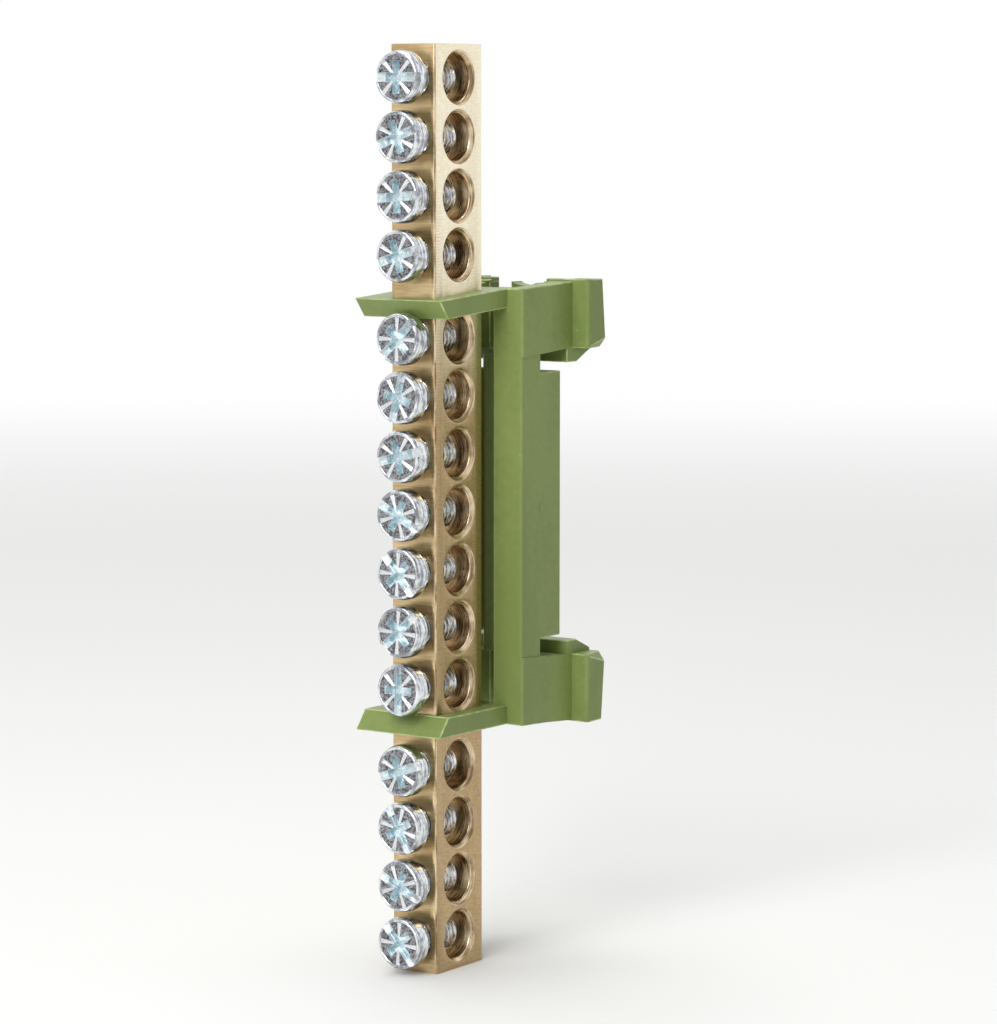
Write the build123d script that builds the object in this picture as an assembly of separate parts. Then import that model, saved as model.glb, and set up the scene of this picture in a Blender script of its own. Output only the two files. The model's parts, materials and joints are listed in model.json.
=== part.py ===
from build123d import *
import os

# Brass terminal bar with fifteen clamping screws, carried by a moulded holder that
# clips onto a 35 mm mounting rail. Sizes are in millimetres.
# The origin is where the holder's back seats on the front of the rail, on the rail's
# centre line. +Z runs along the bar, -Y is the side the screws are driven from and
# +Y points into the rail.

# Mounting rail
rail_height = 35.0
rail_flange = 1.0
rail_play = 0.15

# Terminal bar
bar_width = 6.0
bar_depth = 9.0
bar_standoff = 2.0
bar_edge = 0.15
hole_pitch = 6.5
middle_holes = 7
end_holes = 4
arm_room = 2.6
end_margin = 3.7
wire_bore = 5.2
mouth_chamfer = 0.45
tap_chamfer = 0.25

# Clamping screws
thread_size = 4.0
thread_play = 0.05
tip_diameter = 2.6
tip_length = 0.7
tip_gap = 1.1
head_diameter = 5.9
head_height = 1.7
shoulder_depth = 0.95
shoulder_step = 0.32
head_gap = 1.45
slot_width = 1.0
slot_depth = 0.55
cross_width = 1.05
cross_span = 3.9
cross_depth = 1.25
cross_taper = 7.0
pilot_diameter = 2.2
pilot_depth = 1.45

# How far each screw's slot is turned from level, in degrees, from the top down
slot_turns = [0, 20, 4, 17, 44, 75, 14, -28, -48, 42, 90, 18, -60, -25, -48]

# Holder body
holder_depth = 7.8
body_width = 14.0
side_wall = 2.0
web = 1.9
lip = 1.5
mouth_width = 6.2
seat_inset = 2.35
corner_round = 0.35
rib_width = 2.0
rib_reach = 2.7

# Spring feet that reach over the rail's edges
notch_depth = 4.0
foot_step = 0.15
foot_inset = 0.55
foot_lift = 0.72
foot_flare = 0.5
foot_back = 2.2
web_slot = 2.9
rear_opening = 8.0
crest_rise = 0.47
scallop_radius = 4.4
scallop_depth = 0.4
scallop_place = 3.3

# Hooks behind the rail, one across each foot
ear_width = 2.35
ear_depth = 2.95
ear_proud = 0.25
ear_slope = 0.75
ear_round = 0.45
ear_gap = 0.1
hook_catch = 1.5
ear_cut_front = 1.7
ear_cut_rear = 2.7
ear_cut_steep = 1.25
tooth_tip = 1.75
tooth_lead = 1.3
saddle_width = 7.0
saddle_depth = 1.55
ledge_width = 12.4
ledge_wall = 0.8

# Arms that hold the bar
arm_thickness = 2.2
arm_shift = 0.45
arm_right_wall = 2.0
arm_left_wall = 3.6
arm_front_wall = 0.4
arm_root = 1.0
window_play = 0.05
upper_lean = 4.0
lower_lean = 0.4
upper_bevel = 1.5
lower_bevel = 1.7

# Worked-out places
bar_back = -(holder_depth + bar_standoff)
bar_front = bar_back - bar_depth
bar_middle = (bar_back + bar_front) / 2
middle_half = (middle_holes - 1) / 2 * hole_pitch
first_outer = middle_half + hole_pitch + arm_room
bar_half_length = first_outer + (end_holes - 1) * hole_pitch + end_margin
rail_edge = rail_height / 2
arm_middle = (middle_half + first_outer) / 2 - arm_shift
foot_top = arm_middle + arm_thickness / 2
foot_low = rail_edge - foot_inset
foot_half = body_width / 2 + foot_step
ear_half = body_width / 2 + ear_width
hook_back = foot_back + ear_depth + ear_slope
inner_half = body_width / 2 - side_wall
over = 1.0


def clamp_heights():
    """Heights of the clamping places, from the top of the bar to the bottom."""
    outer = [first_outer + i * hole_pitch for i in range(end_holes)]
    middle = [middle_half - i * hole_pitch for i in range(middle_holes)]
    return outer[::-1] + middle + [-height for height in outer]


def across(outline, x_from, x_to):
    """A side view outline, given as (y, z) points, carried across from x_from to x_to."""
    face = make_face(Polyline(*outline, close=True))
    return extrude(Plane.YZ.offset(x_from) * face, amount=x_to - x_from, dir=(1, 0, 0))


def plan(width, y_from, y_to):
    """A rectangle in plan, centred on the bar and lying between two depths."""
    return Pos(0, (y_from + y_to) / 2) * Rectangle(width, y_to - y_from)


def wire_hole():
    """Cross hole that takes the wire, with a chamfered mouth on both faces of the bar."""
    half = bar_width / 2
    bore = wire_bore / 2
    mouth = bore + mouth_chamfer
    outline = [(0, -half), (mouth, -half), (bore, -half + mouth_chamfer)]
    outline += [(bore, half - mouth_chamfer), (mouth, half), (0, half)]
    profile = Plane.XZ * make_face(Polyline(*outline, close=True))
    return Rot(0, 90, 0) * revolve(profile, Axis.Z)


def screw_hole():
    """Tapped hole from the front face into the wire hole, drawn with its axis on +Z."""
    radius = thread_size / 2 + thread_play
    hole = extrude(Circle(radius), amount=bar_depth / 2)
    entry = Pos(0, 0, tap_chamfer / 2) * Cone(radius + tap_chamfer, radius, tap_chamfer)
    return hole + entry


def front_place(height):
    """Place on the bar's front face at a height, with +Z pointing into the bar."""
    return Plane(origin=(0, bar_front, height), x_dir=(1, 0, 0), z_dir=(0, 1, 0))


def make_busbar():
    """Drawn brass bar, cross-drilled for the wires and tapped from the front."""
    stock = Pos(0, bar_middle, 0) * Box(bar_width, bar_depth, 2 * bar_half_length)
    bar = chamfer(stock.edges().filter_by(Axis.Z), bar_edge)
    for height in clamp_heights():
        bar -= Pos(0, bar_middle, height) * wire_hole()
        bar -= front_place(height) * screw_hole()
    return bar


def screw_recess():
    """Cross recess with a slot over the whole head, cut downwards from the face."""
    cross = Rectangle(cross_span, cross_width) + Rectangle(cross_width, cross_span)
    wings = extrude(cross, amount=cross_depth, taper=cross_taper)
    pilot = extrude(Circle(pilot_diameter / 2), amount=pilot_depth, taper=2 * cross_taper)
    slot = extrude(Rectangle(head_diameter + over, slot_width), amount=slot_depth)
    return wings + pilot + slot


def make_screw(turn):
    """Clamping screw along +Z, with the bar's front face at zero and its slot turned."""
    tip = bar_depth / 2 + wire_bore / 2 - tip_gap
    face = -(head_gap + head_height)
    radius = head_diameter / 2
    straight = head_height - shoulder_depth
    head = Pos(0, 0, face + shoulder_depth / 2) * Cone(radius - shoulder_step, radius, shoulder_depth)
    head += Pos(0, 0, -head_gap - straight / 2) * Cylinder(radius, straight)
    shank = extrude(Pos(0, 0, -head_gap) * Circle(thread_size / 2), amount=head_gap + tip - tip_length)
    point = Pos(0, 0, tip - tip_length / 2) * Cone(thread_size / 2, tip_diameter / 2, tip_length)
    return Rot(0, 0, -turn) * (head + shank + point - Pos(0, 0, face) * screw_recess())


def channel(width, back):
    """Plan of the moulding: two side walls, the web across the back and the front lips."""
    section = plan(width, -holder_depth, back)
    section -= plan(2 * inner_half, lip - holder_depth, -web)
    section -= plan(mouth_width, -holder_depth, lip - holder_depth)
    return section


def make_block():
    """Middle of the holder: the channel that seats on the rail, up to the notches."""
    reach = foot_low + foot_lift / 2
    block = extrude(channel(body_width, 0), amount=reach, both=True)
    front = block.edges().filter_by(Axis.Z).group_by(Axis.Y)[0].sort_by(Axis.X)
    block = fillet([front[0], front[-1]], corner_round)
    seat = rail_edge - seat_inset
    notch = [(-notch_depth, seat), (over, seat), (over, reach + over), (-notch_depth, reach + over)]
    cut = across(notch, -body_width, body_width)
    return block - cut - mirror(cut, about=Plane.XY)


def make_rib():
    """Round-nosed stiffening rib down the middle of the channel."""
    nose = -(web + rib_reach - rib_width / 2)
    section = plan(rib_width, nose, -web) + Pos(0, nose) * Circle(rib_width / 2)
    rib = extrude(section, amount=foot_low, both=True)
    seat = rail_edge - seat_inset
    behind = [(-notch_depth, seat), (0, seat), (0, foot_low + over), (-notch_depth, foot_low + over)]
    cut = across(behind, -rib_width, rib_width)
    return rib - cut - mirror(cut, about=Plane.XY)


def make_foot():
    """Upper spring foot: the channel again, slit at the back and flared over the rail."""
    section = channel(2 * foot_half, foot_back)
    section -= plan(rear_opening, 0, foot_back)
    section -= plan(web_slot, -web, 0)
    foot = extrude(Pos(0, 0, foot_low - over) * section, amount=foot_top - foot_low + foot_flare + 2 * over)
    front = foot.edges().filter_by(Axis.Z).group_by(Axis.Y)[0].sort_by(Axis.X)
    foot = fillet([front[0], front[-1]], corner_round)
    side = [(-holder_depth, foot_low), (foot_back, foot_low + foot_lift)]
    side += [(foot_back, foot_top + foot_flare), (-holder_depth, foot_top)]
    foot = foot & across(side, -ear_half, ear_half)
    crest = plan(2 * inner_half, -web, 0) - plan(web_slot, -web, 0)
    foot += extrude(Pos(0, 0, foot_top) * crest, amount=crest_rise)
    hollow = Rot(90, 0, 0) * Cylinder(scallop_radius, web + 2 * over)
    height = foot_top + crest_rise - scallop_depth + scallop_radius
    foot -= Pos(scallop_place, -web / 2, height) * hollow
    foot -= Pos(-scallop_place, -web / 2, height) * hollow
    return foot


def make_hook():
    """Hook across the upper foot: tooth behind the rail, ears at both ends, saddle on top."""
    top = foot_top + foot_flare + ear_proud
    low = rail_edge - hook_catch
    lead = low + tooth_lead
    front = rail_flange + rail_play
    bar_side = [(foot_back, low), (front + tooth_tip, low), (hook_back, lead)]
    bar_side += [(foot_back + ear_depth, top), (foot_back, top)]
    bar = across(bar_side, -ear_half, ear_half)
    upright = bar.edges().filter_by(Axis.Z).group_by(Axis.Y)[0]
    bar = fillet(upright, ear_round)
    root = rail_edge + foot_lift
    tooth = [(front, low), (foot_back + over, low), (foot_back + over, root), (front, root)]
    bar += across(tooth, -foot_half, foot_half)
    floor = top - saddle_depth
    for width, start in ((saddle_width, foot_back), (ledge_width, foot_back + ledge_wall)):
        saddle = [(start, floor), (hook_back, floor), (hook_back, top + over), (start, top + over)]
        bar -= across(saddle, -width / 2, width / 2)
    return bar - ear_cuts(low)


def ear_cuts(low):
    """Cuts that end both ears above the rail's edge and slope their outer corners."""
    below = [(0, 0), (2 * hook_back, 0), (2 * hook_back, rail_edge + ear_gap), (0, rail_edge + ear_gap)]
    under = across(below, foot_half, ear_half + over)
    start = Vector(ear_half, foot_back, low + ear_cut_front)
    along = Vector(0, hook_back - foot_back, ear_cut_rear - ear_cut_front)
    inward = Vector(-1, 0, -ear_cut_steep)
    face = Plane(origin=start, x_dir=along, z_dir=inward.cross(along))
    size = 4 * ear_depth
    cut = face * (Pos(0, 0, size / 2) * Box(4 * size, size, size)) + under
    return cut + mirror(cut, about=Plane.YZ)


def make_arm(lean, bevel):
    """Upper arm: a plate with a bevelled front and a window that the bar passes through."""
    low = arm_middle - arm_thickness / 2
    inner_front = bar_front - arm_front_wall
    outer_front = inner_front - bevel
    root = arm_root - holder_depth
    side = [(root, low), (inner_front, low), (outer_front, foot_top), (root, foot_top)]
    plate = across(side, -bar_width / 2 - arm_left_wall, bar_width / 2 + arm_right_wall)
    hinge = Axis((0, -holder_depth, arm_middle), (1, 0, 0))
    plate = plate.rotate(hinge, lean)
    window = Box(bar_width + 2 * window_play, bar_depth + 2 * window_play, 4 * arm_thickness)
    return plate - Pos(0, bar_middle, arm_middle) * window


def make_holder():
    """Holder moulded in one piece: block, rib, two feet with hooks and two arms."""
    end = make_foot() + make_hook()
    holder = make_block() + make_rib() + end + mirror(end, about=Plane.XY)
    holder += make_arm(upper_lean, upper_bevel)
    holder += mirror(make_arm(lower_lean, lower_bevel), about=Plane.XY)
    return holder


def save(shape, node):
    """Write one piece to its own file."""
    export_step(shape, "parts/" + node + ".step")


os.makedirs("parts", exist_ok=True)
save(make_holder(), "holder")
save(make_busbar(), "busbar")
for number, height in enumerate(clamp_heights(), start=1):
    screw = front_place(height) * make_screw(slot_turns[number - 1])
    save(screw, "screw_%02d" % number)
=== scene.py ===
import json
import math

import bpy
from mathutils import Matrix, Vector

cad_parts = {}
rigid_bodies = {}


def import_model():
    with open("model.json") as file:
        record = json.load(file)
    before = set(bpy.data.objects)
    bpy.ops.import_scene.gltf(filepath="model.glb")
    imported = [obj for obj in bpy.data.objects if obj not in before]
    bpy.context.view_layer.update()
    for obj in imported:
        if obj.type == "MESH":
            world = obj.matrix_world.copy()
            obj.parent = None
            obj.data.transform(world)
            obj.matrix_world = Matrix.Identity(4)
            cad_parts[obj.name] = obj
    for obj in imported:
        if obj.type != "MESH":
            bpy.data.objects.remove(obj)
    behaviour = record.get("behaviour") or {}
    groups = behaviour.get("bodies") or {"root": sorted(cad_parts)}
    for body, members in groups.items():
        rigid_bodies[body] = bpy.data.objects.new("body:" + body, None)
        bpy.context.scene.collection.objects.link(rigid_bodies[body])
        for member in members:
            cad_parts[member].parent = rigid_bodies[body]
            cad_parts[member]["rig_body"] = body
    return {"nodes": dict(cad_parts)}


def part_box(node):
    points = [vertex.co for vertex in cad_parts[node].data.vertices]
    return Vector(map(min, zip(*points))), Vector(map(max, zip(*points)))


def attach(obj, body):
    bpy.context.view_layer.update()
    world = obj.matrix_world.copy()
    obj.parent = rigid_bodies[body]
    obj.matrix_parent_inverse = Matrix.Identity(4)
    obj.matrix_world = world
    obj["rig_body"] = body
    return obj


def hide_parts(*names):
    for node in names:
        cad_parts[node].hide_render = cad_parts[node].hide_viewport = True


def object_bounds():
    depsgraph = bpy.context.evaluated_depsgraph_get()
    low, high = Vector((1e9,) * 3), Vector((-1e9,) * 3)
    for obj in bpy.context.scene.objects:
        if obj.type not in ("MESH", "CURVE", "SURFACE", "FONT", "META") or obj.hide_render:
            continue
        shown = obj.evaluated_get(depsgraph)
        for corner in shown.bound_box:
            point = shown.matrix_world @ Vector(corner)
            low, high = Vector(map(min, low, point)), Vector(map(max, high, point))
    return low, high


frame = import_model()
cad_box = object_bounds()


# The holder is one moulding in olive-green polyamide with a satin skin.
# Two windowed arms carry the bar, and two sprung feet clip over the mounting rail.
# Its corners are softened as they come from the tool and painted a paler green, a painted highlight along the
# edges, and the gate left a small scar.
mm = 0.001
weld_gap = 0.001 * mm
flat_angle = math.radians(0.4)
corner_angle = math.radians(30)
holder_corner = 0.14 * mm
least_edge = 0.6 * mm
scar_place = Vector((7.0, -4.1, -0.1)) * mm
scar_radius = 0.55 * mm
scar_depth = 0.16 * mm


def paint(red, green, blue):
    """A colour as it looks on screen, 0 to 255, in the linear values that shaders use."""
    linear = [(part / 255 + 0.055) / 1.055 for part in (red, green, blue)]
    return [part ** 2.4 for part in linear] + [1.0]


class Number:
    """A value that varies over a surface. Sums written with it become maths nodes."""

    def __init__(self, finish, socket):
        self.finish = finish
        self.socket = socket

    def maths(self, operation, first, second=0.0):
        return self.finish.node("ShaderNodeMath", {"operation": operation}, {0: first, 1: second})

    def __add__(self, other):
        return self.maths("ADD", self, other)

    def __rsub__(self, other):
        return self.maths("SUBTRACT", other, self)

    def __mul__(self, other):
        return self.maths("MULTIPLY", self, other)


class Finish:
    """A material on one shader, with the constants that hold all over the surface."""

    def __init__(self, name, constants):
        self.material = bpy.data.materials.new(name)
        self.material.use_nodes = True
        self.tree = self.material.node_tree
        self.shader = self.tree.nodes["Principled BSDF"]
        self.feed(self.shader, constants)
        self.place = self.node("ShaderNodeTexCoord", output="Object")

    def feed(self, node, inputs):
        for name, value in inputs.items():
            if isinstance(value, Number):
                self.tree.links.new(value.socket, node.inputs[name])
            else:
                node.inputs[name].default_value = value

    def node(self, kind, settings={}, inputs={}, output=0):
        made = self.tree.nodes.new(kind)
        for name, value in settings.items():
            if name == "stops":
                made.color_ramp.elements[0].position, made.color_ramp.elements[1].position = value
            else:
                setattr(made, name, value)
        self.feed(made, inputs)
        return Number(self, made.outputs[output])

    def cloud(self, size, detail=3.0, stretch=(1, 1, 1), roughness=0.55):
        """Soft random patches of a size in metres, longer along an axis stretched over 1."""
        scale = [1 / (size * part) for part in stretch]
        place = self.node("ShaderNodeMapping", {}, {"Vector": self.place, "Scale": scale})
        return self.node("ShaderNodeTexNoise", {},
                         {"Vector": place, "Scale": 1.0, "Detail": detail, "Roughness": roughness})

    def part_of(self, value, low, high):
        """0 below low, 1 above high and a smooth step between."""
        return self.node("ShaderNodeMapRange", {"interpolation_type": "SMOOTHSTEP"},
                         {"Value": value, "From Min": low, "From Max": high})

    def blend(self, factor, first, second):
        """One colour where the factor is 0 and the other where it is 1."""
        return self.node("ShaderNodeMix", {"data_type": "RGBA"}, {0: factor, 6: first, 7: second}, 2)

    def relief(self, height, depth, strength=1.0):
        """The surface's own unevenness, as a bump of a depth in metres."""
        return self.node("ShaderNodeBump", {}, {"Height": height, "Distance": depth, "Strength": strength})


def only(piece):
    """Select one piece alone and make it the active one."""
    bpy.ops.object.select_all(action="DESELECT")
    piece.select_set(True)
    bpy.context.view_layer.objects.active = piece


def joined_copy(node, name):
    """A piece with a solid's own shape, its loose triangles joined into whole faces."""
    piece = bpy.data.objects.new(name, frame["nodes"][node].data.copy())
    bpy.context.scene.collection.objects.link(piece)
    only(piece)
    bpy.ops.object.mode_set(mode="EDIT")
    bpy.ops.mesh.select_all(action="SELECT")
    bpy.ops.mesh.remove_doubles(threshold=weld_gap)
    bpy.ops.mesh.dissolve_limited(angle_limit=flat_angle)
    bpy.ops.object.mode_set(mode="OBJECT")
    return piece


def apply_modifier(piece, kind, settings):
    """Put one modifier on a piece with its settings and apply it."""
    only(piece)
    modifier = piece.modifiers.new(kind.title(), kind)
    for name, value in settings.items():
        setattr(modifier, name, value)
    bpy.ops.object.modifier_apply(modifier=modifier.name)


def soften(piece, width, segments=2):
    """Round all of a piece's sharp corners and shade it smooth."""
    only(piece)
    bpy.ops.object.shade_smooth()
    apply_modifier(piece, "BEVEL", {"width": width, "segments": segments, "limit_method": "ANGLE",
                                    "angle_limit": corner_angle, "harden_normals": True,
                                    "use_clamp_overlap": False})


def outer_corners(piece, least):
    """The edges, longer than a least length, where two faces meet at an outer corner."""
    mesh = piece.data
    sides = {}
    for face in mesh.polygons:
        for key in face.edge_keys:
            sides.setdefault(key, []).append(face)
    found = []
    for edge in mesh.edges:
        first, second = sides[edge.key]
        start, end = [mesh.vertices[index].co for index in edge.vertices]
        ring = list(second.vertices)
        beside = [index for place, index in enumerate(ring) if index not in edge.vertices
                  and (ring[place - 1] in edge.vertices or ring[(place + 1) % len(ring)] in edge.vertices)]
        outer = all((mesh.vertices[index].co - start).dot(first.normal) < 0.1 * weld_gap for index in beside)
        if outer and first.normal.angle(second.normal) > corner_angle and (end - start).length > least:
            found.append(edge.index)
    return found


def round_outside(piece, width, least, slot):
    """Round a piece's long outer corners, with a material slot of their own."""
    found = outer_corners(piece, least)
    only(piece)
    bpy.ops.object.shade_flat()
    bpy.ops.object.mode_set(mode="EDIT")
    bpy.ops.mesh.select_mode(type="EDGE")
    bpy.ops.mesh.select_all(action="DESELECT")
    bpy.ops.object.mode_set(mode="OBJECT")
    for index in found:
        piece.data.edges[index].select = True
    bpy.ops.object.mode_set(mode="EDIT")
    bpy.ops.mesh.bevel(offset=width, segments=3, affect="EDGES", material=slot,
                       clamp_overlap=False, miter_outer="ARC")
    bpy.ops.object.mode_set(mode="OBJECT")
    for face in piece.data.polygons:
        face.use_smooth = face.material_index == slot


def cut_away(piece, cutter):
    """Take a cutter's shape out of a piece and remove the cutter."""
    apply_modifier(piece, "BOOLEAN", {"operation": "DIFFERENCE", "solver": "EXACT", "object": cutter})
    bpy.data.objects.remove(cutter)


holder = joined_copy("holder", "holder_moulding")
bpy.ops.object.select_all(action="DESELECT")
bpy.ops.mesh.primitive_uv_sphere_add(segments=24, ring_count=12, radius=scar_radius, location=scar_place)
scar = bpy.context.object
scar.scale = (scar_depth / scar_radius, 1.0, 1.0)
cut_away(holder, scar)

plastic = Finish("olive_polyamide", {"IOR": 1.53, "Specular IOR Level": 0.25})
flow = plastic.cloud(9.0 * mm, detail=2.0, stretch=(1, 1, 3))
mottle = plastic.cloud(0.9 * mm, detail=4.0)
speckle = plastic.cloud(0.16 * mm, detail=2.0)
fleck = plastic.part_of(plastic.cloud(0.5 * mm, detail=1.0), 0.74, 0.78)
body_green = plastic.blend(plastic.part_of(flow * 0.7 + mottle * 0.3, 0.35, 0.65),
                           paint(117, 133, 74), paint(130, 146, 84))
plastic.feed(plastic.shader, {
    "Base Color": plastic.blend(fleck * 0.35, body_green, paint(172, 184, 130)),
    "Roughness": mottle * 0.12 + 0.30,
    "Normal": plastic.relief(speckle * 0.5 + mottle * 0.5, 0.010 * mm, 0.35),
})
# Painted highlight: the rounded corners take a paler green than the body, standing in for the light along the
# edges.
edge_highlight = Finish("painted_highlight_polyamide", {"IOR": 1.53, "Specular IOR Level": 0.25, "Roughness": 0.35})
edge_highlight_mottle = edge_highlight.cloud(1.2 * mm, detail=3.0)
edge_highlight.feed(edge_highlight.shader, {"Base Color": edge_highlight.blend(edge_highlight.part_of(edge_highlight_mottle, 0.35, 0.65),
                                                       paint(146, 163, 98), paint(180, 195, 134))})
holder.data.materials.clear()
for finish in (plastic, edge_highlight):
    holder.data.materials.append(finish.material)
for face in holder.data.polygons:
    face.material_index = 0
# The rounded corners get slot 1, the painted edge highlight.
round_outside(holder, holder_corner, least_edge, 1)
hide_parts("holder")
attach(holder, "root")


# The terminal bar is drawn brass, sawn to length, cross-drilled for the wires and
# tapped from the front. The drill left its rings in the holes and the saw its lines
# on the front, and the long corners keep the small radius of the drawing die.
bar_low, bar_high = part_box("busbar")
bar_corner = 0.07 * mm
bar_middle = (bar_low.y + bar_high.y) / 2
bar_front = bar_low.y
face_depth = 0.02 * mm
comb_scale = 950
comb_strength = 0.28
# Heights over which the painted reflection turns the bar's sides and back pale.
painted_reflection_from = 8 * mm
painted_reflection_to = 34 * mm

bar = joined_copy("busbar", "busbar_brass")
soften(bar, bar_corner)

brass = Finish("sawn_brass", {"Metallic": 1.0})
patch = brass.cloud(2.4 * mm, detail=4.0, stretch=(3, 1, 1))
grain = brass.cloud(0.12 * mm, detail=3.0)
sawing = brass.cloud(0.10 * mm, detail=2.0, stretch=(25, 25, 1))
worn = brass.part_of(patch * 0.6 + sawing * 0.4, 0.30, 0.70)
brass.feed(brass.shader, {
    "Base Color": brass.blend(worn, paint(182, 152, 106), paint(228, 204, 160)),
    "Roughness": grain * 0.14 + sawing * 0.16 + 0.20,
    "Normal": brass.relief(grain * 0.4 + sawing * 0.6, 0.010 * mm, 0.5),
})

drawn = Finish("drawn_brass", {"Metallic": 1.0})
level_up = drawn.node("ShaderNodeSeparateXYZ", {}, {"Vector": drawn.place}, "Z")
# Painted reflection: the sides and back go from a darker gold low down to a near-white champagne higher up,
# standing in for the bright surround mirrored on the upper part.
painted_reflection_rise = drawn.part_of(level_up, painted_reflection_from, painted_reflection_to)
drawing = drawn.cloud(0.09 * mm, detail=2.0, stretch=(1, 1, 60))
chatter = drawn.cloud(0.14 * mm, detail=2.0, stretch=(12, 6, 1))
speck = drawn.cloud(0.12 * mm, detail=3.0)
inward = drawn.node("ShaderNodeSeparateXYZ", {}, {"Vector": drawn.place}, "Y")
combed = drawn.node("ShaderNodeTexWave", {"bands_direction": "Z"},
                    {"Vector": drawn.place, "Scale": comb_scale, "Distortion": 5.0, "Detail": 2.0}, "Fac")
combed = drawn.part_of(combed, 0.75, 0.95) * drawn.part_of(level_up, 2 * mm, 12 * mm)
combed = combed * (1 - drawn.part_of(level_up, 30 * mm, 40 * mm))
combed = combed * (1 - drawn.part_of(inward, bar_front + 0.4 * mm, bar_front + 1.6 * mm))
fresh = drawn.part_of(chatter * 0.4 + drawing * 0.3 + speck * 0.3, 0.36, 0.64)
low_tone = drawn.blend(fresh, paint(166, 140, 102), paint(196, 170, 130))
high_tone = drawn.blend(fresh, paint(236, 222, 190), paint(252, 246, 224))
bar_tone = drawn.blend(painted_reflection_rise, low_tone, high_tone)
drawn.feed(drawn.shader, {
    "Base Color": drawn.blend(combed * comb_strength, bar_tone, paint(118, 92, 60)),
    "Roughness": speck * 0.14 + chatter * 0.10 + 0.20,
    "Normal": drawn.relief(speck * 0.4 + drawing * 0.3 + chatter * 0.3, 0.012 * mm, 0.5),
})

bored = Finish("drilled_brass", {"Metallic": 1.0})
ring = bored.cloud(0.12 * mm, detail=2.0, stretch=(1, 25, 25))
stain = bored.cloud(2.2 * mm, detail=4.0)
bored.feed(bored.shader, {
    "Base Color": bored.blend(bored.part_of(stain * 0.5 + ring * 0.5, 0.38, 0.62),
                              paint(138, 111, 80), paint(234, 214, 180)),
    "Roughness": ring * 0.2 + 0.18,
    "Normal": bored.relief(ring, 0.02 * mm, 0.7),
})
bar.data.materials.clear()
for finish in (brass, bored, drawn):
    bar.data.materials.append(finish.material)
for face in bar.data.polygons:
    inside = abs(face.center.x) < bar_high.x - face_depth and face.center.y > bar_front + face_depth
    inside = inside and bar_low.z + face_depth < face.center.z < bar_high.z - face_depth
    inside = inside and abs(face.center.y - bar_middle) < bar_middle - bar_front - face_depth
    along = abs(face.normal.x) > 0.9 or face.normal.y > 0.9
    face.material_index = 1 if inside else 2 if along else 0
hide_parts("busbar")
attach(bar, "root")


# The fifteen clamping screws are steel, cold-headed and zinc plated with a blue cast.
# Each has a rolled M4 thread, a blunt point and a cross recess with a slot across it,
# and four fine marks between the arms of the cross. Each stands as it was last turned.
head_radius = 2.95 * mm
head_height = 1.7 * mm
head_gap = 1.45 * mm
face_radius = 2.63 * mm
shoulder_depth = 0.95 * mm
shoulder_steps = 6
rim_width = 0.1 * mm
face_sink = 0.05 * mm
head_corner = 0.02 * mm
slot_width = 1.0 * mm
slot_depth = 0.55 * mm
cross_width = 1.0 * mm
cross_span = 3.9 * mm
cross_depth = 1.25 * mm
cross_taper = 0.86
mark_width = 0.37 * mm
mark_taper = 0.3
mark_reach = 2.42 * mm
thread_radius = 1.98 * mm
thread_root = 1.56 * mm
thread_pitch = 0.7 * mm
thread_crest = thread_pitch / 8
thread_floor = thread_pitch / 4
thread_steps = 40
tip_reach = 6.0 * mm
tip_length = 0.7 * mm
tip_fullness = 0.35
tip_bulge = 0.13 * mm
screw_turns = [0, 20, 4, 17, 44, 75, 14, -28, -48, 42, 90, 18, -60, -25, -48]
head_face = -(head_gap + head_height)


def in_edit(piece):
    """Open one piece for editing with nothing selected."""
    only(piece)
    bpy.ops.object.mode_set(mode="EDIT")
    bpy.ops.mesh.select_all(action="DESELECT")


def pick_faces(piece, wanted):
    """Select the faces that pass a test, leaving the piece in edit mode."""
    in_edit(piece)
    bpy.ops.mesh.select_mode(type="FACE")
    bpy.ops.object.mode_set(mode="OBJECT")
    for face in piece.data.polygons:
        face.select = wanted(face)
    bpy.ops.object.mode_set(mode="EDIT")


def block(size, centre, turn=0.0):
    """A rectangular block, turned about the screw's axis."""
    bpy.ops.object.select_all(action="DESELECT")
    bpy.ops.mesh.primitive_cube_add(size=1.0, location=centre, rotation=(0, 0, turn))
    made = bpy.context.object
    made.scale = size
    bpy.ops.object.transform_apply(location=True, rotation=True, scale=True)
    return made


def make_head():
    """The head with its point down: +Z runs from the head's face towards the thread."""
    bpy.ops.object.select_all(action="DESELECT")
    bpy.ops.mesh.primitive_cylinder_add(vertices=72, radius=head_radius, depth=head_height - shoulder_depth,
                                        location=(0, 0, -head_gap - (head_height - shoulder_depth) / 2))
    head = bpy.context.object
    bpy.ops.object.transform_apply(location=True, rotation=True, scale=True)
    pick_faces(head, lambda face: face.normal.z < -0.9)
    radius, rise = head_radius, 0.0
    for step in range(1, shoulder_steps + 1):
        angle = step / shoulder_steps * math.pi / 2
        next_radius = head_radius - (head_radius - face_radius) * (1 - math.cos(angle))
        next_rise = shoulder_depth * math.sin(angle)
        bpy.ops.mesh.extrude_region_move(TRANSFORM_OT_translate={"value": (0, 0, rise - next_rise)})
        bpy.ops.transform.resize(value=(next_radius / radius, next_radius / radius, 1.0))
        radius, rise = next_radius, next_rise
    bpy.ops.mesh.inset(thickness=rim_width)
    bpy.ops.mesh.inset(thickness=face_sink, depth=-face_sink)
    bpy.ops.object.mode_set(mode="OBJECT")
    return head


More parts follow.
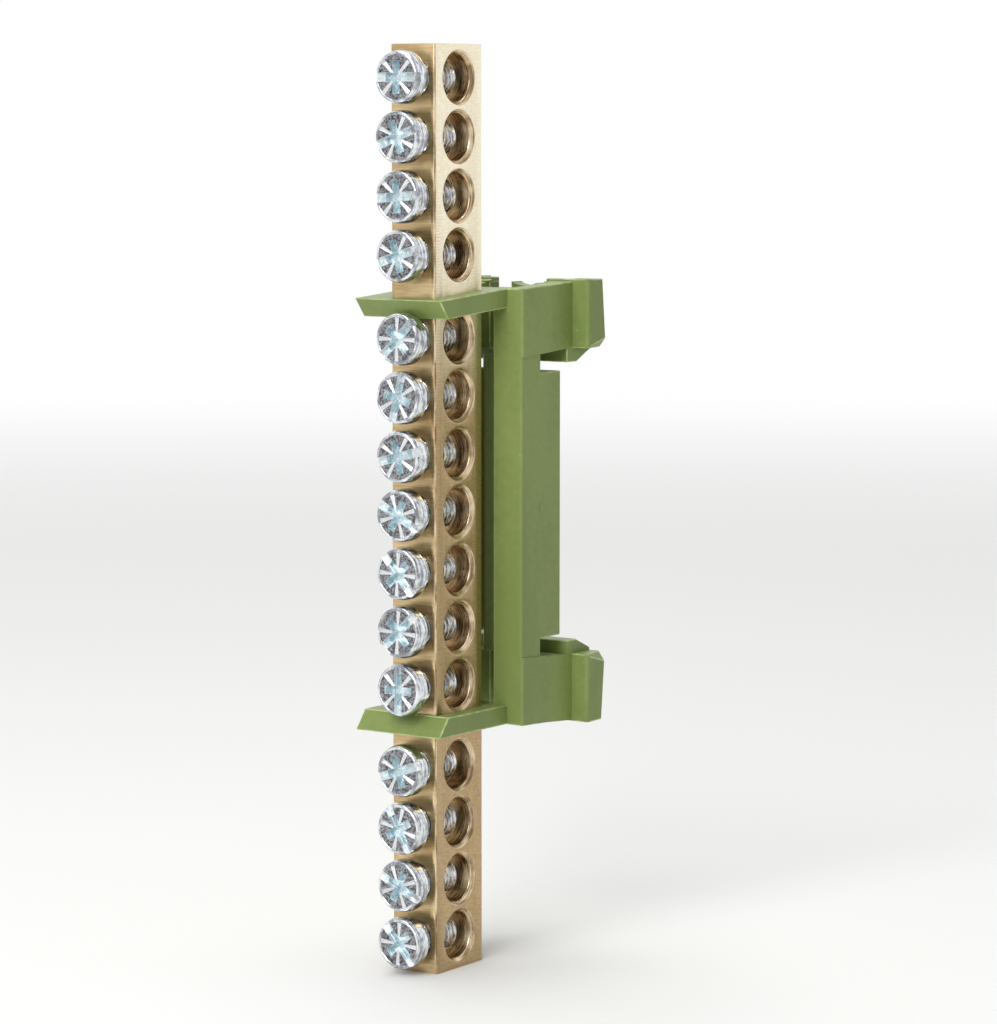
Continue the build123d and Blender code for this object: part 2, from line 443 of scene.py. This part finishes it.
def cut_recess(head):
    """Slot, tapered cross and the four marks, cut down from the head's face."""
    over = 1.0 * mm
    cut_away(head, block((2 * head_radius + over, slot_width, slot_depth + over),
                         (0, 0, head_face + (slot_depth - over) / 2)))
    for turn in (0.0, math.pi / 2):
        arm = block((cross_span, cross_width, cross_depth + over),
                    (0, 0, head_face + (cross_depth - over) / 2), turn)
        pick_faces(arm, lambda face: face.normal.z > 0.9)
        bpy.ops.transform.resize(value=(cross_taper, cross_taper, 1.0))
        bpy.ops.object.mode_set(mode="OBJECT")
        cut_away(head, arm)
    for quarter in range(4):
        turn = math.pi / 4 + quarter * math.pi / 2
        mark = block((mark_reach, mark_width, mark_width), (mark_reach / 2, 0, 0))
        in_edit(mark)
        bpy.ops.mesh.select_all(action="SELECT")
        bpy.ops.transform.rotate(value=math.pi / 4, orient_axis="X", center_override=(0, 0, 0))
        bpy.ops.object.mode_set(mode="OBJECT")
        pick_faces(mark, lambda face: face.normal.x < -0.9)
        bpy.ops.transform.resize(value=(1.0, mark_taper, mark_taper))
        bpy.ops.object.mode_set(mode="OBJECT")
        mark.data.transform(Matrix.Translation((0, 0, head_face + face_sink)) @ Matrix.Rotation(turn, 4, "Z"))
        cut_away(head, mark)


def make_thread():
    """Rolled thread: one tooth's outline wound down the shank, cut square at both ends."""
    flank = (thread_pitch - thread_crest - thread_floor) / 2
    steps = [(0, thread_floor), (thread_radius - thread_root, flank), (0, thread_crest),
             (thread_root - thread_radius, flank)]
    bpy.ops.object.select_all(action="DESELECT")
    bpy.ops.mesh.primitive_plane_add(size=mm, location=(0, 0, 0))
    thread = bpy.context.object
    in_edit(thread)
    bpy.ops.mesh.select_mode(type="VERT")
    bpy.ops.mesh.select_all(action="SELECT")
    bpy.ops.mesh.merge(type="CENTER")
    bpy.ops.transform.translate(value=(thread_root, 0, -head_gap - 2 * thread_pitch))
    for outward, along in steps:
        bpy.ops.mesh.extrude_region_move(TRANSFORM_OT_translate={"value": (outward, 0, along)})
    bpy.ops.object.mode_set(mode="OBJECT")
    turns = math.ceil((head_gap + tip_reach) / thread_pitch) + 4
    apply_modifier(thread, "SCREW", {"angle": 2 * math.pi, "screw_offset": thread_pitch,
                                     "iterations": turns, "steps": thread_steps,
                                     "render_steps": thread_steps})
    in_edit(thread)
    bpy.ops.mesh.select_all(action="SELECT")
    bpy.ops.mesh.remove_doubles(threshold=weld_gap)
    bpy.ops.object.mode_set(mode="OBJECT")
    for height, side in ((-head_gap - 0.2 * mm, -1), (tip_reach, 1)):
        in_edit(thread)
        bpy.ops.mesh.select_all(action="SELECT")
        bpy.ops.mesh.bisect(plane_co=(0, 0, height), plane_no=(0, 0, side), use_fill=True,
                            clear_outer=True, threshold=weld_gap)
        bpy.ops.object.mode_set(mode="OBJECT")
    in_edit(thread)
    bpy.ops.mesh.select_all(action="SELECT")
    bpy.ops.mesh.normals_make_consistent(inside=False)
    bpy.ops.object.mode_set(mode="OBJECT")
    return thread


def round_point(thread):
    """Keep only what lies in the point's outline, between a cone and a full round."""
    bpy.ops.object.select_all(action="DESELECT")
    long = 2 * (head_gap + tip_reach)
    bpy.ops.mesh.primitive_cylinder_add(vertices=64, radius=thread_radius + 0.02 * mm, depth=long,
                                        location=(0, 0, tip_reach - long / 2))
    outline = bpy.context.object
    bpy.ops.object.transform_apply(location=True, rotation=True, scale=True)
    pick_faces(outline, lambda face: face.normal.z > 0.9)
    bpy.ops.mesh.bevel(offset=tip_length, segments=6, profile=tip_fullness, affect="EDGES")
    bpy.ops.object.mode_set(mode="OBJECT")
    apply_modifier(thread, "BOOLEAN", {"operation": "INTERSECT", "solver": "EXACT", "object": outline})
    bpy.data.objects.remove(outline)


def keep_within_point(piece):
    """Bring back the few vertices that the rounding of corners threw outside the point."""
    for vertex in piece.data.vertices:
        along = vertex.co.z - (tip_reach - tip_length)
        widest = thread_radius + tip_bulge - along
        if along > 0 and vertex.co.xy.length > widest:
            vertex.co.xy *= widest / vertex.co.xy.length


pattern = make_head()
cut_recess(pattern)
shank = make_thread()
round_point(shank)
apply_modifier(pattern, "BOOLEAN", {"operation": "UNION", "solver": "EXACT", "object": shank})
bpy.data.objects.remove(shank)
soften(pattern, head_corner)
keep_within_point(pattern)

zinc = Finish("zinc_plate", {"Metallic": 1.0})
plating = zinc.cloud(0.6 * mm, detail=3.0)
turning = zinc.cloud(0.22 * mm, detail=3.0, stretch=(9, 1, 9))
pit = zinc.cloud(0.08 * mm, detail=2.0)
zinc.feed(zinc.shader, {
    "Base Color": zinc.blend(zinc.part_of(plating * 0.4 + turning * 0.6, 0.38, 0.60),
                             paint(148, 152, 158), paint(236, 239, 242)),
    "Roughness": plating * 0.12 + 0.10,
    "Normal": zinc.relief(pit * 0.4 + plating * 0.6, 0.008 * mm, 0.6),
})
# Painted shade: the flat face between the arms of the cross is painted a mottled dark grey, darker than the
# plating elsewhere, standing in for the dark room it mirrors.
face_shade = Finish("painted_shade_zinc", {"Metallic": 1.0})
face_mottle = face_shade.cloud(0.22 * mm, detail=6.0, roughness=0.7)
face_shade.feed(face_shade.shader, {
    "Base Color": face_shade.blend(face_shade.part_of(face_mottle, 0.38, 0.62),
                                paint(66, 66, 70), paint(172, 172, 176)),
    "Roughness": face_mottle * 0.2 + 0.24,
    "Normal": face_shade.relief(face_mottle, 0.04 * mm, 0.8),
})
blued = Finish("blue_passivate", {"Metallic": 0.5})
film = blued.cloud(0.5 * mm, detail=4.0)
blued.feed(blued.shader, {
    "Base Color": blued.blend(blued.part_of(film, 0.35, 0.65),
                              paint(184, 208, 216), paint(230, 240, 243)),
    "Roughness": film * 0.16 + 0.18,
    "Normal": blued.relief(film, 0.02 * mm, 0.7),
})
# Painted highlight: the four marks are painted paler than the plating, standing in for the light they catch.
mark_highlight = Finish("painted_highlight_zinc", {"Metallic": 0.7})
mark_mottle = mark_highlight.cloud(0.3 * mm, detail=3.0)
mark_highlight.feed(mark_highlight.shader, {
    "Base Color": mark_highlight.blend(mark_mottle, paint(206, 210, 214), paint(244, 246, 248)),
    "Roughness": mark_mottle * 0.2 + 0.24,
})
pattern.data.materials.clear()
for finish in (zinc, face_shade, blued, mark_highlight):
    pattern.data.materials.append(finish.material)
level = 0.004 * mm
for face in pattern.data.polygons:
    reach = face.center.xy.length
    depth = face.center.z - head_face
    # The face inside the rim: the painted shade.
    if abs(depth - face_sink) < level and reach < face_radius - rim_width:
        face.material_index = 1
    elif depth > mark_width and face.center.z < -head_gap and reach < cross_span / 2 + level:
        face.material_index = 2
    # The four marks: the painted highlight.
    elif face_sink + level < depth <= mark_width and reach < face_radius - rim_width:
        face.material_index = 3

screws = sorted(name for name in frame["nodes"] if name.startswith("screw_"))
for number, node in enumerate(screws):
    low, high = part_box(node)
    piece = bpy.data.objects.new(node + "_threaded", pattern.data.copy())
    bpy.context.scene.collection.objects.link(piece)
    seat = Matrix.Translation((0, bar_front, (low.z + high.z) / 2))
    into_bar = Matrix.Rotation(-math.pi / 2, 4, "X")
    turned = Matrix.Rotation(-math.radians(screw_turns[number]), 4, "Z")
    piece.data.transform(seat @ into_bar @ turned)
    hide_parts(node)
    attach(piece, frame["nodes"][node]["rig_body"])
bpy.data.objects.remove(pattern)


# The studio: a pale floor that runs out into a white surround, soft lamps and the camera.
# Behind the object the surround is white, and it falls to grey behind the camera, as
# the room does there. The camera stands where the photograph was taken from.
camera_aim = Vector((-0.5668, 0.8170, -0.1061))
floor_radius = 3.0
fade_start = 0.12
fade_end = 0.9
surround_back = 1.0
surround_front = 0.78
surround_light = 0.4
key_place, key_size, key_power = (0.10, -0.65, 0.42), 0.5, 4.7
overhead_place, overhead_size, overhead_power = (-0.1, 0.1, 0.7), 0.5, 2.8
camera_place = Vector((236.67, -343.43, 43.03)) * mm
camera_lens = 127.9


def surround_tone(finish, place):
    """White on the far side of the object and grey behind the camera."""
    towards = finish.node("ShaderNodeVectorMath", {"operation": "NORMALIZE"}, {0: place})
    along = finish.node("ShaderNodeVectorMath", {"operation": "DOT_PRODUCT"},
                        {0: towards, 1: camera_aim}, "Value")
    return finish.node("ShaderNodeMapRange", {"interpolation_type": "SMOOTHSTEP"},
                       {"Value": along, "From Min": -0.7, "From Max": 0.3,
                        "To Min": surround_front, "To Max": surround_back})


bpy.ops.object.select_all(action="DESELECT")
bpy.ops.mesh.primitive_circle_add(vertices=96, radius=floor_radius, fill_type="NGON")
floor = bpy.context.object
floor.name = "studio_floor"
floor.location.z = cad_box[0].z
pale = Finish("pale_floor", {"Base Color": paint(236, 236, 234), "Roughness": 0.8})
seen_floor = pale.node("ShaderNodeLightPath", output="Is Camera Ray")
mirrored_floor = pale.node("ShaderNodeLightPath", output="Is Glossy Ray")
away = pale.node("ShaderNodeVectorMath", {"operation": "LENGTH"}, {0: pale.place}, "Value")
fade = pale.part_of(away, fade_start, fade_end) * pale.node(
    "ShaderNodeMath", {"operation": "MAXIMUM"}, {0: seen_floor, 1: mirrored_floor})
glow = pale.node("ShaderNodeEmission", {}, {"Strength": surround_tone(pale, pale.place)})
mixed = pale.node("ShaderNodeMixShader", {}, {0: fade, 1: Number(pale, pale.shader.outputs[0]), 2: glow})
pale.tree.links.new(mixed.socket, pale.tree.nodes["Material Output"].inputs["Surface"])
floor.data.materials.append(pale.material)

world = bpy.data.worlds.new("studio_surround")
bpy.context.scene.world = world
world.use_nodes = True
surround = Finish.__new__(Finish)
surround.tree = world.node_tree
surround.place = surround.node("ShaderNodeTexCoord", output="Generated")
shown = surround.node("ShaderNodeLightPath", output="Is Camera Ray")
shown = surround.node("ShaderNodeMath", {"operation": "MAXIMUM"},
                      {0: shown, 1: surround.node("ShaderNodeLightPath", output="Is Glossy Ray")})
shown = surround.node("ShaderNodeMath", {"operation": "MAXIMUM"},
                      {0: shown, 1: surround.node("ShaderNodeLightPath", output="Is Transmission Ray")})
lit = shown * (1 - surround_light) + surround_light
surround.feed(world.node_tree.nodes["Background"],
              {"Color": paint(255, 255, 255), "Strength": lit * surround_tone(surround, surround.place)})


def lamp(name, place, size, power):
    """A soft square lamp that looks at the object."""
    data = bpy.data.lights.new(name, "AREA")
    data.size = size
    data.energy = power
    made = bpy.data.objects.new(name, data)
    made.location = place
    made.rotation_euler = (-Vector(place)).to_track_quat("-Z", "Y").to_euler()
    bpy.context.scene.collection.objects.link(made)


lamp("key_lamp", key_place, key_size, key_power)
lamp("overhead_lamp", overhead_place, overhead_size, overhead_power)

camera_data = bpy.data.cameras.new("camera")
camera_data.lens = camera_lens
camera_data.sensor_width = 36.0
camera_data.clip_start = 0.01
camera = bpy.data.objects.new("camera", camera_data)
camera.location = camera_place
camera.rotation_euler = camera_aim.to_track_quat("-Z", "Y").to_euler()
bpy.context.scene.collection.objects.link(camera)
bpy.context.scene.camera = camera
bpy.context.scene.view_settings.view_transform = "Standard"
